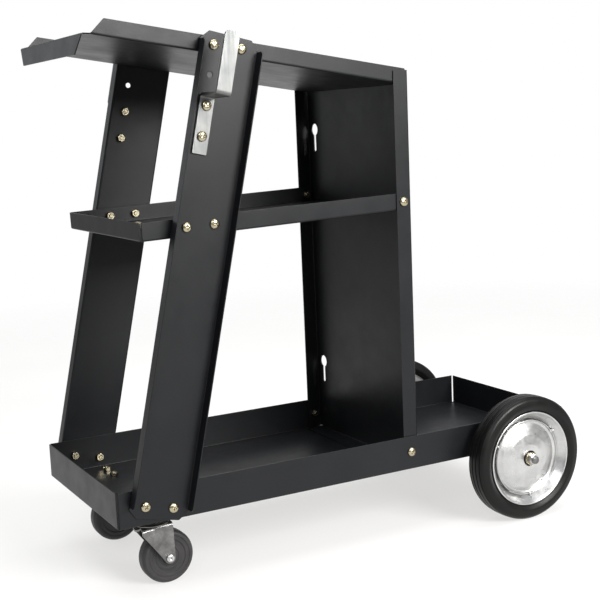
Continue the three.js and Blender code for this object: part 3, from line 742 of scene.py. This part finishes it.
def fold_both(axis, half, bend=BEND):
    """The same fold on both sides of an axis."""
    return {(axis, 1): right_fold(half, bend), (axis, -1): right_fold(half, bend)}


# ---- Frame ----

def tray_origin():
    low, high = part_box("bottom_tray")
    return Vector(((low.x + high.x) / 2, 0, high.z - TRAY_DEPTH * MM))


def bottom_tray():
    """A floor and four flanges, with a V notch at each corner where the flanges part."""
    origin = tray_origin()
    length, width, _ = size("bottom_tray") / 2
    reach = flange_at(length, TRAY_DEPTH)
    spread = flange_at(width, TRAY_DEPTH)
    a, b = length - SEAM, width - SEAM
    notch = (a - RELIEF, b - RELIEF)
    right = [(reach, b), (length - BEND, b), notch, (a, width - BEND), (a, spread)]
    outline = mirrored(both_sides(right))
    bolts = leg_bolts("tray") + ["panel_tray_bolt_left"]
    holes = side_holes(bolts, origin, X, Z, width)
    holes += caster_holes("left", origin) + caster_holes("right", origin)
    folds = {**fold_both(0, length), **fold_both(1, width)}
    tray = sheet("bottom_tray_sheet", outline, BLACK, placed(origin, X, Y, Z), holes, folds)
    keep(tray, "frame", "bottom_tray")


def axle_brackets():
    """Two plates under the tray with the bore of the axle."""
    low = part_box("bottom_tray")[0]
    axle = centre_of("rear_axle")
    under = tray_origin().z
    drop = (under - low.z) / MM
    wide, narrow = BRACKET_HALF
    left = [(-wide, 0, 0.5), (-wide, -BRACKET_STEP, 2), (-narrow, -drop, 3)]
    outline = rounded(both_sides(left))
    bore = circle((0, (axle.z - under) / MM), BRACKET_BORE, 40)
    for name, side in SIDES:
        origin = Vector((axle.x, (side * BRACKET_AT + SHEET) * MM, under))
        plate = sheet(f"axle_bracket_{name}", outline, BLACK, placed(origin, X, Z, -Y), [bore],
                      thickness=2 * SHEET)
        keep(plate, "frame")


def middle_shelf():
    """A floor with a front flange and two side flanges, open at the rear."""
    origin, along, out = mount_frame("welder_shelf_face")
    extent, width, _ = size("middle_shelf")
    half = width / 2
    length = (extent - MIDDLE_DEPTH * abs(along.z)) / along.x
    front = flange_at(MIDDLE_AT, MIDDLE_DEPTH)
    spread = flange_at(half, MIDDLE_DEPTH)
    rear = length - MIDDLE_AT
    start = SEAM - MIDDLE_AT
    end = half - SEAM
    outline = mirrored([
        (-front, -end), (BEND - MIDDLE_AT, -end), (start, -end), (start, -spread), (rear, -spread),
    ])
    bolts = leg_bolts("middle_shelf") + ["panel_shelf_bolt_left"]
    holes = side_holes(bolts, origin, along, out, half)
    folds = {(0, -1): right_fold(MIDDLE_AT), **fold_both(1, half)}
    shelf = sheet("middle_shelf_sheet", outline, BLACK, placed(origin, along, Y, out), holes, folds)
    keep(shelf, "frame", "middle_shelf")


def top_shelf():
    """A sloping floor with two side flanges that start at a slant, and a tapered lip folded down."""
    origin, along, out = mount_frame("top_shelf_face")
    extent, width, _ = size("top_shelf")
    half = width / 2
    length = (extent - (TOP_DEPTH + TOP_LIP) * abs(along.z)) / along.x
    spread = flange_at(half, TOP_DEPTH)
    inner = BEND - SHEET
    lip = BEND - inner * QUARTER - (TOP_LIP - inner)
    fold_half = half - TOP_CORNER
    lower = [
        (lip, TOP_TAPER - fold_half, CORNER), (BEND - inner * QUARTER, -fold_half, 0),
        (BEND, -fold_half, 0), (TOP_START, BEND - half, 1.0),
        (TOP_START + TOP_SLANT, -spread, CORNER), (length, -spread, CORNER),
    ]
    outline = rounded(mirrored([(x - TOP_AT, y, radius) for x, y, radius in lower]), 4)
    holes = side_holes(leg_bolts("top_shelf"), origin, along, out, half)
    folds = {(0, -1): ((TOP_AT - BEND, inner, -QUARTER),), **fold_both(1, half)}
    shelf = sheet("top_shelf_sheet", outline, BLACK, placed(origin, along, Y, out), holes, folds)
    keep(shelf, "frame", "top_shelf")


def keyhole(side, height):
    """A round hole with a narrow slot below it that ends in a half circle."""
    half = math.asin(KEYHOLE_HALF / KEYHOLE_RADIUS)
    first, last = half - QUARTER, 3 * QUARTER - half
    points = arc_points((0, 0), KEYHOLE_RADIUS, first, last - first, 28)
    points += arc_points((0, KEYHOLE_HALF - KEYHOLE_SLOT), KEYHOLE_HALF, math.pi, math.pi, 8)
    return [(side * KEYHOLE_Y + x, height - PANEL_START + y) for x, y in points]


def rear_panel():
    """A tall sheet with two side flanges, a lip at the bottom and four keyholes."""
    low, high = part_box("rear_panel")
    origin = Vector((high.x, 0, low.z + PANEL_START * MM))
    half = high.y / MM
    top = (high.z - origin.z) / MM
    spread = flange_at(half, PANEL_DEPTH)
    lip = flange_at(PANEL_START, PANEL_LIP)
    lip_half = half - PANEL_LIP_INSET
    start = SEAM - PANEL_START
    outline = rounded(both_sides([
        (lip_half, -lip, CORNER), (lip_half, start, 0), (spread, start, CORNER), (spread, top, CORNER),
    ]), 4)
    holes = [keyhole(side, height) for _, side in SIDES for height in KEYHOLE_HEIGHTS]
    for node in ("panel_tray_bolt_left", "panel_shelf_bolt_left"):
        place = (centre_of(node) - origin) / MM
        across = flange_at(half, -place.x)
        holes += [circle((side * across, place.z), HOLE) for _, side in SIDES]
    folds = {**fold_both(0, half), (1, -1): right_fold(PANEL_START)}
    panel = sheet("rear_panel_sheet", outline, BLACK, placed(origin, -Y, Z, -X), holes, folds)
    keep(panel, "frame", "rear_panel")


def leg_outline():
    """The web with its cut corners, and flanges that stop short of the web's ends."""
    half = LEG_WIDTH / 2
    spread = flange_at(half, LEG_FLANGE)
    web_low, web_high = LEG_WEB
    low, high = LEG_FLANGES
    fold = half - BEND
    return both_sides([
        (half - LEG_CORNER, web_low), (half, web_low + LEG_CORNER), (half, low - LEG_SLIT),
        (fold, low - LEG_SLIT), (fold, low), (spread - LEG_TIP, low), (spread, low + LEG_TIP),
        (spread, high - LEG_TIP), (spread - LEG_TIP, high), (fold, high), (fold, high + LEG_SLIT),
        (half, high + LEG_SLIT), (half, web_high - LEG_CORNER), (half - LEG_CORNER, web_high),
    ])


def leg_holes(origin, across, along):
    nodes = leg_bolts("tray") + leg_bolts("middle_shelf") + leg_bolts("top_shelf") + HOOK_BOLTS
    places = [(centre_of(node) - origin) / MM for node in nodes]
    centres = [(p.dot(across), p.dot(along)) for p in places] + [SPARE_HOLE]
    return [circle((a - LEG_WIDTH / 2, b), HOLE) for a, b in centres]


def legs():
    origin, across, along = leg_frame()
    holes = leg_holes(origin, across, along)
    folds = fold_both(0, LEG_WIDTH / 2)
    left = placed(origin + across * LEG_WIDTH / 2 * MM, across, along, -Y)
    for name, matrix in both_hands(left):
        leg = sheet(f"leg_{name}_sheet", leg_outline(), BLACK, matrix, holes, folds, LEG_FLANGES)
        keep(leg, "frame", f"leg_{name}")


def cable_hooks():
    """Flat bars on the legs that step outwards and then go on upwards."""
    origin, across, along = leg_frame()
    low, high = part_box("cable_hook_left")
    reach = (high.y - low.y) / MM - HOOK["thick"]
    big = BEND + HOOK["thick"]
    first = HOOK["step"] - HOOK["start"] - big
    second = first + big * QUARTER + reach - big - BEND
    total = second + BEND * QUARTER + HOOK["end"] - HOOK["step"] - BEND
    half = HOOK["width"] / 2
    outline = mirrored([(0, -half, HOOK["foot_round"]), (total, -half, HOOK["tip_round"])])
    foot = origin + (across * HOOK["centre"] + along * HOOK["start"]) * MM
    foot.y = high.y
    holes = []
    for node in HOOK_BOLTS:
        place = (centre_of(node) - foot) / MM
        holes.append(circle((place.dot(along), place.dot(across)), HOLE))
    folds = {(0, 1): ((first, big, QUARTER), (second, BEND, -QUARTER))}
    left = placed(foot, along, across, -Y)
    for name, matrix in both_hands(left):
        hook = sheet(f"cable_hook_{name}_bar", rounded(outline, 8), HOOK_STEEL, matrix, holes, folds,
                     thickness=HOOK["thick"], edge=BAR_EDGE)
        keep(hook, "frame", f"cable_hook_{name}")


# ---- Bolts ----

def cross(arm, half):
    """How far the side of a cross recess lies from its middle, as a function of the angle."""
    def radius(angle):
        c, s = abs(math.cos(angle)) + 1e-6, abs(math.sin(angle)) + 1e-6
        return max(min(arm / c, half / s), min(arm / s, half / c))
    return radius


def bolt_stations(grip):
    """A domed head with a cross recess, the shank, the nut and the thread's end, top to bottom."""
    top, end = grip + HEAD_HEIGHT, -NUT_HEIGHT - THREAD_END
    recess, bottom = cross(3.0, 0.7), cross(1.9, 0.45)
    dome = [(HEAD_RADIUS * math.sin(t), grip + HEAD_RIM + (HEAD_HEIGHT - HEAD_RIM) * math.cos(t))
            for t in (math.radians(d) for d in (32, 40, 50, 60, 70, 80, 90))]
    return [
        (0, top - 1.9), lambda a: (bottom(a), top - 1.7), lambda a: (recess(a), top - 0.30),
        *dome, (HEAD_RADIUS, grip + 0.4), (HEAD_RADIUS - 0.4, grip), (SHANK_RADIUS, grip),
        (SHANK_RADIUS, 0.0), *nut_stations(NUT_APOTHEM, -NUT_HEIGHT, 0.0), (3.2, -NUT_HEIGHT),
        (2.95, -NUT_HEIGHT - 0.3), (2.6, -NUT_HEIGHT - 0.6), (2.95, -NUT_HEIGHT - 0.9),
        (2.4, end), (0, end),
    ]


def bolt(node, direction, prototypes):
    """direction points from the nut to the head. Bolts with the same grip share a mesh."""
    low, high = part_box(node)
    span = abs((high - low).dot(direction)) / MM
    grip = round(span - HEAD_HEIGHT - NUT_HEIGHT - THREAD_END, 1)
    if grip in prototypes:
        thing = bpy.data.objects.new(node + "_screw", prototypes[grip])
        bpy.context.scene.collection.objects.link(thing)
    else:
        thing = loft(node + "_screw", bolt_stations(grip), YELLOW, 96, 30)
        prototypes[grip] = thing.data
    nut_face = span / 2 - NUT_HEIGHT - THREAD_END
    thing.location = (low + high) / 2 - direction * nut_face * MM
    spin = Matrix.Rotation(random.uniform(0, QUARTER), 4, "Z")
    turn = direction.to_track_quat("Z", "Y").to_matrix().to_4x4() @ spin
    thing.rotation_euler = turn.to_euler()
    keep(thing, "frame", node)


def bolts():
    prototypes = {}
    for name, side in SIDES:
        for node in sorted(frame["nodes"]):
            if "bolt" in node and f"_{name}" in node:
                bolt(node, -Z if node.startswith("caster") else Y * side, prototypes)


# ---- Rear wheels ----

def tyre_outline():
    """Rounded side walls, and a tread with four narrow grooves."""
    half = [
        (58.7, 4.6, 2.0), (70.1, 14.8, 0.9), (76.5, 18.1, 7.0), (86.2, 16.2, 7.5), (89.2, 12.2, 2.0),
    ]
    for offset, radius in ((11.1, 89.3), (3.8, 89.9)):
        half += [(radius, offset + 1.0, 0.3), (radius - 1.5, offset + 0.7, 0.3),
                 (radius - 1.5, offset - 0.7, 0.3), (radius, offset - 1.0, 0.3)]
    return rounded(mirrored(half))


def rim_outline():
    """A well between two shoulders, each with a rolled edge over the tyre's side."""
    half = [
        (57.1, 4.0, 3.0), (66.4, 13.1, 1.0), (68.2, 13.7, 0.4), (68.3, 15.5, 0.85), (66.3, 15.5, 0.85),
        (64.4, 12.8, 3.0), (58.6, 6.4, 2.0), (55.5, 3.4, 1.5),
    ]
    return rounded(mirrored(half))


def disc_outline(out):
    """A pressed disc: a dome round the hub, a shallow valley and a turned-up edge."""
    face = [
        (11.0, 13.4, 0.5), (20.0, 12.9, 9.0), (33.0, 10.2, 18.0), (43.5, 6.4, 14.0), (50.0, 2.8, 2.5),
        (53.4, 4.6, 1.4), (53.6, 8.0, 0.7), (54.9, 8.0, 0.7),
    ]
    back = [(54.9, 2.6, 2.0), (49.4, 1.2, 2.5), (42.9, 4.9, 14.0), (32.5, 8.7, 18.0), (19.6, 11.4, 9.0),
            (11.0, 11.9, 0.5)]
    return [(radius, out * offset) for radius, offset in rounded(face + back)]


def crimp_tabs(name, side, centre):
    """Three small pinches of the rim over the disc's edge."""
    out = Y * side
    faces = [(3, 2, 1, 0), (4, 5, 6, 7), (0, 1, 5, 4), (1, 2, 6, 5), (2, 3, 7, 6), (3, 0, 4, 7)]
    for i in range(TABS):
        angle = math.radians(TAB_TURN + 360 / TABS * i)
        radial = Vector((math.cos(angle), 0, math.sin(angle)))
        round_way = Vector((-math.sin(angle), 0, math.cos(angle)))
        origin = centre + (radial * TAB_RADIUS + out * TAB_OFFSET) * MM
        tab = make_object(f"crimp_tab_{name}_{i + 1}", TAB_BASE + TAB_TOP, faces, BRIGHT,
                          placed(origin, round_way, radial, out))
        bevel = tab.modifiers.new("edge", "BEVEL")
        bevel.width = TAB_ROUND * MM
        bevel.segments = 3
        keep(tab, f"rear_wheel_{name}")


def rear_wheel(name, side):
    """The tyre, the rim, a disc on each side and the hub."""
    pieces = (  # piece, node, outline, material, segments, slot
        ("tyre_{}_rubber", "tyre_{}", tyre_outline(), TYRE, 192, "black_tyre"),
        ("rim_{}_steel", "rim_{}", rim_outline(), BRIGHT, 160, "bright_rim"),
        ("disc_outer_{}", "wheel_disc_outer_{}", disc_outline(side), BRIGHT, 160, "bright_rim"),
        ("disc_inner_{}", "wheel_disc_inner_{}", disc_outline(-side), BRIGHT, 160, "bright_rim"),
        ("hub_{}", "wheel_hub_{}", tube_outline(**HUB), ZINC_PAINTED_SHADE, 64, "zinc_steel"),
    )
    centre = centre_of(f"tyre_{name}")
    for piece, node, outline, material, segments, slot in pieces:
        thing = ring(piece.format(name), outline, material, segments)
        thing.location = centre
        keep(thing, f"rear_wheel_{name}", node.format(name))
    crimp_tabs(name, side, centre)


def axle_fasteners(name):
    """The washer and the hexagon nut outside a rear wheel."""
    washer = ring(f"axle_washer_{name}_disc", tube_outline(**WASHER), YELLOW, 64)
    keep_at_node(washer, "frame", f"axle_washer_{name}")
    half = AXLE_NUT_HALF
    stations = [(AXLE_BORE, half), *nut_stations(AXLE_NUT_APOTHEM, -half, half), (AXLE_BORE, -half)]
    nut = loft(f"axle_nut_{name}_hex", stations, BRIGHT, 72, 30, along_z=False)
    nut.rotation_euler = (0, math.radians(AXLE_NUT_TURN), 0)
    keep_at_node(nut, "frame", f"axle_nut_{name}")


def rear_axle():
    """A rod through both wheels with a thread at each end."""
    end = size("rear_axle").y / 2
    start = end - AXLE_THREAD
    thread = threads(AXLE_RADIUS, start, end - AXLE_CHAMFER)
    half = [(AXLE_RADIUS, AXLE_PLAIN), (AXLE_RADIUS, start), *reversed(thread),
            (5.0, end - AXLE_CHAMFER), (4.2, end), (0, end)]
    axle = loft("rear_axle_rod", both_ends(half), ZINC_PAINTED_SHADE, 48, 30, along_z=False)
    keep_at_node(axle, "frame", "rear_axle")


# ---- Casters ----

def caster_plate(name, centre):
    """The top plate, its neck and the kingpin with its riveted end."""
    low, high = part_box(f"caster_plate_{name}")
    front, rear = (low.x - centre.x) / MM, (high.x - centre.x) / MM
    half = (high.y - low.y) / MM / 2
    outline = rounded(mirrored([(front, -half, PLATE_CORNER), (rear, -half, PLATE_CORNER)]), 8)
    origin = Vector((centre.x, centre.y, high.z - CASTER_SHEET * MM))
    plate = sheet(f"caster_plate_{name}_top", outline, ZINC_PAINTED_SHADE, placed(origin, X, Y, Z),
                  caster_holes(name, centre), thickness=CASTER_SHEET)
    keep(plate, "frame", f"caster_plate_{name}")
    pin = (high.z - low.z) / MM
    stations = [
        (0, -1.0), (13.0, -1.0), (15.5, -CASTER_SHEET), (13.5, -4.5), (13.2, -7.5), (4.0, -7.5),
        (4.0, 3.0 - pin), (6.1, 3.0 - pin), (5.9, 1.4 - pin), (4.4, 0.2 - pin), (0, -pin),
    ]
    neck = loft(f"caster_neck_{name}", stations, ZINC_PAINTED_SHADE, 64, 35)
    neck.location = (centre.x, centre.y, high.z)
    keep(neck, "frame")


def fork_outline(crown_height, trail):
    """Half of the flat pattern, the crown's side and one arm, and where on it the rivet's hole is."""
    arm = flange_at(ARM_HALF, crown_height - size("caster_wheel_left").z / 2, ARM_BEND)
    front, rear = CROWN
    side = flange_at(ARM_HALF, FRONT_DROP, ARM_BEND)
    start, stop = (math.radians(angle) for angle in ARM_ROUND)
    end = arc_points((trail, arm), ARM_END, start, stop - start, 16)
    inner = ARM_HALF - ARM_BEND
    first = math.pi - math.asin(inner / CROWN_ROUND)
    nose = arc_points((0, 0), CROWN_ROUND, first, math.pi - first, 6)
    nose[-1] = (-CROWN_ROUND, 0)
    return [(rear, 0), (rear, inner), *end, (front, side), (front, inner), *nose], arm


def crease_lines(reach):
    """Lines down both arms, along the foot of the crease's slope and along its ridge."""
    shifts = [-CREASE_RUN + i for i in (-1, 0, 1)]
    shifts += [CREASE_HALF * part for part in (-1, -0.5, 0, 0.5, 1)]
    inner = ARM_HALF - ARM_BEND
    return [[(CREASE_TOP + shift, side * inner), (CREASE_LOW + shift, side * reach)]
            for side in (1, -1) for shift in shifts]


def fork_shape(reach):
    """Presses the crease into the arms and lets the crown's round front droop."""
    drop = reach - ARM_HALF + ARM_BEND

    def shape(place):
        ahead = CREASE_TOP + (CREASE_LOW - CREASE_TOP) * place.z / drop - place.x
        if place.z > 0:
            fade = min(1.0, place.z / ARM_BEND)
            rib = CREASE_RIB * math.cos(QUARTER * min(1, abs(ahead) / CREASE_HALF)) ** 2
            slope = CREASE_SLOPE * min(CREASE_RUN, max(0, ahead))
            place.y += math.copysign((rib - slope) * fade, place.y)
        place.z += NOSE_DROOP * max(0, -place.x - NOSE_START) ** 2
        return place

    return shape


def caster_fork(name, centre, trail):
    """A crown with two arms folded down, each with a crease, and the ball cup on top."""
    crown_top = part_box(f"caster_fork_{name}")[1].z - CUP_HEIGHT * MM
    upper, arm = fork_outline(crown_top / MM, trail)
    outline = upper + [(x, -y) for x, y in reversed(upper[1:-1])]
    reach = arm + ARM_END
    holes = [circle((0, 0), CROWN_BORE)]
    holes += [circle((trail, side * arm), ARM_BORE) for side in (1, -1)]
    origin = Vector((centre.x, centre.y, crown_top))
    fork = sheet(f"caster_fork_{name}_arms", outline, ZINC_PAINTED_SHADE, placed(origin, X, Y, -Z), holes,
                 fold_both(1, ARM_HALF, ARM_BEND), thickness=CASTER_SHEET, edge=BAR_EDGE,
                 extra=crease_lines(reach), shape=fork_shape(reach))
    body = f"caster_swivel_{name}"
    keep(fork, body, f"caster_fork_{name}")
    # The cup's dark zinc is painted shade: it sits in the shadow under the tray.
    cup = loft(f"caster_cup_{name}", [
        (CROWN_BORE, 0.1), (CROWN_BORE, 2.0), (13.9, 2.4), (15.2, CUP_HEIGHT - 0.4),
        (16.2, CUP_HEIGHT), (17.6, CUP_HEIGHT), (18.6, CUP_HEIGHT - 1.0), (19.4, 2.8), (22.4, 2.4),
        (23.3, 1.6), (23.3, 0.8), (22.6, 0.1)], ZINC_PAINTED_SHADE, 96, 35)
    cup.location = origin
    keep(cup, body)


def caster_wheel(name):
    """A moulded wheel with rings in its sides and a round tread."""
    half = [
        (3.5, 12.0, 0.4), (8.6, 12.0, 0.6), (9.0, 10.2, 0.5), (13.6, 9.4, 0.5), (14.0, 10.0, 0.3),
        (17.4, 9.6, 0.3), (17.8, 9.0, 0.5), (22.6, 9.2, 0.5), (23.2, 10.2, 0.4), (26.0, 10.4, 0.4),
        (26.4, 9.9, 0.3), (28.4, 10.1, 0.3), (28.8, 10.9, 0.4), (32.2, 10.9, 2.2), (35.2, 6.2, 3.5),
    ]
    wheel = ring(f"caster_wheel_{name}_rubber", rounded(mirrored(half), 3), GREY, 144)
    keep_at_node(wheel, f"caster_roller_{name}", f"caster_wheel_{name}")


def caster_axle(name):
    """A rivet with a domed, hollow head at both ends."""
    end = size(f"caster_axle_{name}").y / 2
    half = [(3.0, 5.0), (3.0, end - 2.4), (5.5, end - 2.4), (5.4, end - 1.5), (4.7, end - 0.6),
            (3.6, end - 0.1), (2.4, end), (1.9, end - 0.3), (1.7, end - 2.2), (0, end - 2.2)]
    axle = loft(f"caster_axle_{name}_rivet", both_ends(half), BRIGHT, 48, 40, along_z=False)
    keep_at_node(axle, f"caster_swivel_{name}", f"caster_axle_{name}")


def casters():
    for name, _ in SIDES:
        centre = joint_place(f"caster_swivel_turn_{name}")
        trail = (centre_of(f"caster_wheel_{name}").x - centre.x) / MM
        caster_plate(name, centre)
        caster_fork(name, centre, trail)
        caster_wheel(name)
        caster_axle(name)


# ---- Stage ----

def floor():
    half = FLOOR_HALF
    corners = mirrored([(-half, -half, 0), (half, -half, 0)])
    make_object("floor", corners, [(0, 1, 2, 3)], floor_paint())


def camera():
    """The photograph's view, from the front left."""
    data = bpy.data.cameras.new("camera")
    data.lens = CAMERA_LENS
    data.sensor_width = 36.0
    thing = bpy.data.objects.new("camera", data)
    yaw, pitch, roll = (math.radians(v) for v in CAMERA_TURN)
    turn = Matrix.Rotation(yaw, 4, "Z") @ Matrix.Rotation(QUARTER - pitch, 4, "X")
    turn = turn @ Matrix.Rotation(roll, 4, "Z")
    thing.matrix_world = Matrix.Translation(CAMERA_PLACE) @ turn
    bpy.context.scene.collection.objects.link(thing)
    bpy.context.scene.camera = thing


def area_light(name, place, target, width, height, power, color):
    data = bpy.data.lights.new(name, "AREA")
    data.shape = "RECTANGLE"
    data.size, data.size_y = width, height
    data.energy = power
    data.color = color
    thing = bpy.data.objects.new(name, data)
    thing.location = place
    direction = Vector(target) - Vector(place)
    thing.rotation_euler = direction.to_track_quat("-Z", "Y").to_euler()
    bpy.context.scene.collection.objects.link(thing)


def studio():
    """White behind the cart and grey everywhere else, paler and slightly bluish above."""
    world = bpy.data.worlds.new("studio")
    world.use_nodes = True
    nodes = Nodes(world.node_tree)
    place = nodes.node("ShaderNodeTexCoord").outputs["Generated"]
    axes = nodes.node("ShaderNodeSeparateXYZ")
    nodes.link(place, axes.inputs[0])
    sky = nodes.ramp(nodes.spread(axes.outputs["Z"], 0.0, 1.0, (-1.0, 1.0)), *SKY)
    behind = nodes.node("ShaderNodeVectorMath", operation="DOT_PRODUCT")
    behind.inputs[1].default_value = BACKDROP
    nodes.link(place, behind.inputs[0])
    white = nodes.spread(behind.outputs["Value"], 0.0, 1.0, BACKDROP_EDGE, "SMOOTHSTEP")
    color = nodes.blend(white, sky, (1, 1, 1))
    nodes.link(color, nodes.tree.nodes["Background"].inputs["Color"])
    bpy.context.scene.world = world


def lights():
    bpy.context.scene.view_settings.view_transform = "Standard"
    studio()
    for light in LIGHTS:
        area_light(*light)


bottom_tray()
axle_brackets()
middle_shelf()
top_shelf()
rear_panel()
legs()
cable_hooks()
bolts()
rear_axle()
for side_name, side_sign in SIDES:
    rear_wheel(side_name, side_sign)
    axle_fasteners(side_name)
casters()
floor()
camera()
lights()
